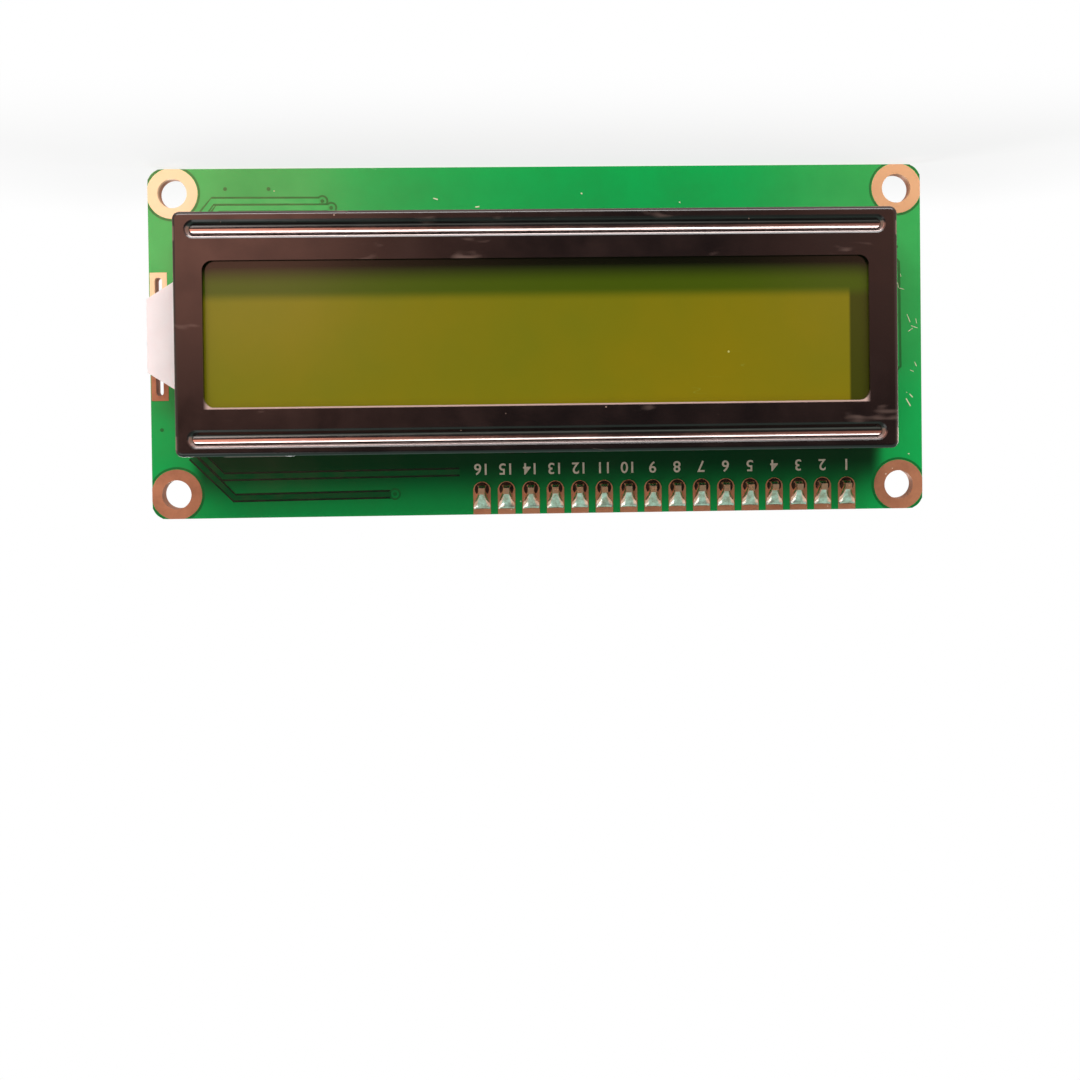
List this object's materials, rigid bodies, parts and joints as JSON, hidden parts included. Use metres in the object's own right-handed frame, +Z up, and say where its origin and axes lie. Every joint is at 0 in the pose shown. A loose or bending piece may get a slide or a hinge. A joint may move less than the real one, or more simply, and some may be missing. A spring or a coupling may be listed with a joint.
{
  "type": "character lcd module",
  "caption": "Text display module: black-framed screen on a green board, with a black serial adapter board, contrast trimmer and jumper on its back.",
  "frame": {"origin": "centre of the four corner holes, on the front face of the main board", "axes": "+X along the pin row, to the right as seen from the screen side; +Y away from the viewer, so the screen faces -Y; +Z up, with the pin row along the top edge"},
  "size_m": [0.081, 0.0177, 0.036],
  "materials": {
    "bezel_paint": "glossy black paint over pressed steel sheet",
    "polarizer": "olive polarizing film behind the window",
    "cell_glass": "clear flat glass",
    "white_film": "white diffusing film",
    "clear_plastic": "clear moulded plastic",
    "white_plastic": "translucent white moulded plastic",
    "elastomer": "silicone rubber with conducting layers",
    "green_board": "green solder mask over glass-fibre laminate",
    "black_board": "black solder mask over glass-fibre laminate",
    "tinned_copper": "bare copper, partly tinned",
    "solder": "bright solder",
    "black_plastic": "black moulded plastic",
    "gold_pins": "gold-flashed brass pins",
    "chip_plastic": "dark moulded chip plastic",
    "tinned_leads": "tin-plated leads",
    "trimmer_blue": "blue moulded plastic",
    "rotor_cream": "cream moulded plastic",
    "ceramic": "white ceramic",
    "chip_part": "ceramic chip with dark top and metal ends",
    "capacitor_ceramic": "tan ceramic chip with metal ends",
    "resin_black": "black potting resin",
    "lamp_resin": "clear cast resin on a white base"
  },
  "bodies": {
    "module": {"bezel": "bezel_paint", "front_polarizer": "polarizer", "rear_polarizer": "polarizer", "front_glass": "cell_glass", "rear_glass": "cell_glass", "diffuser_sheet": "white_film", "reflector_sheet": "white_film", "light_guide": "clear_plastic", "backlight_housing": "white_plastic", "backlight_led": "lamp_resin", "backlight_leads": "tinned_leads", "backlight_solder": "solder", "contact_strip_upper": "elastomer", "contact_strip_lower": "elastomer", "lcd_board": "green_board", "corner_eyelets": "tinned_copper", "side_pads": "tinned_copper", "tab_pads": "tinned_copper", "header_pads": "tinned_copper", "driver_blob_left": "resin_black", "driver_blob_right": "resin_black", "limit_resistor": "chip_part", "board_resistor_1": "chip_part", "board_resistor_2": "chip_part", "board_resistor_3": "chip_part", "feedback_resistor": "chip_part", "header_spacer": "black_plastic", "header_pins": "gold_pins", "header_solder_front": "solder", "header_solder_back": "solder", "adapter_board": "black_board", "expander_chip": "chip_plastic", "expander_leads": "tinned_leads", "trimmer_body": "trimmer_blue", "trimmer_base": "ceramic", "trimmer_pins": "tinned_leads", "bus_header_block": "black_plastic", "bus_header_pins": "gold_pins", "jumper_header_block": "black_plastic", "jumper_header_pins": "gold_pins", "transistor_body": "chip_plastic", "transistor_leads": "tinned_leads", "power_led": "lamp_resin", "adapter_capacitor": "capacitor_ceramic", "solder_bridge": "solder", "adapter_resistor_4": "chip_part", "adapter_resistor_5": "chip_part", "adapter_resistor_6": "chip_part", "adapter_resistor_7": "chip_part", "adapter_resistor_8": "chip_part", "adapter_resistor_9": "chip_part", "adapter_resistor_10": "chip_part"},
    "rotor": {"trimmer_rotor": "rotor_cream"},
    "cap": {"jumper_cap": "black_plastic", "jumper_clip": "gold_pins"}
  },
  "joints": [
    {"name": "trimmer_turn", "type": "hinge", "parent": "module", "child": "rotor", "pos_m": [-0.02465, 0.00574, 0.0091], "axis": [0, 1, 0], "range_deg": [-120, 120]},
    {"name": "jumper_pull", "type": "slide", "parent": "module", "child": "cap", "axis": [1, 0, 0], "range_m": [0, 0.012]}
  ]
}
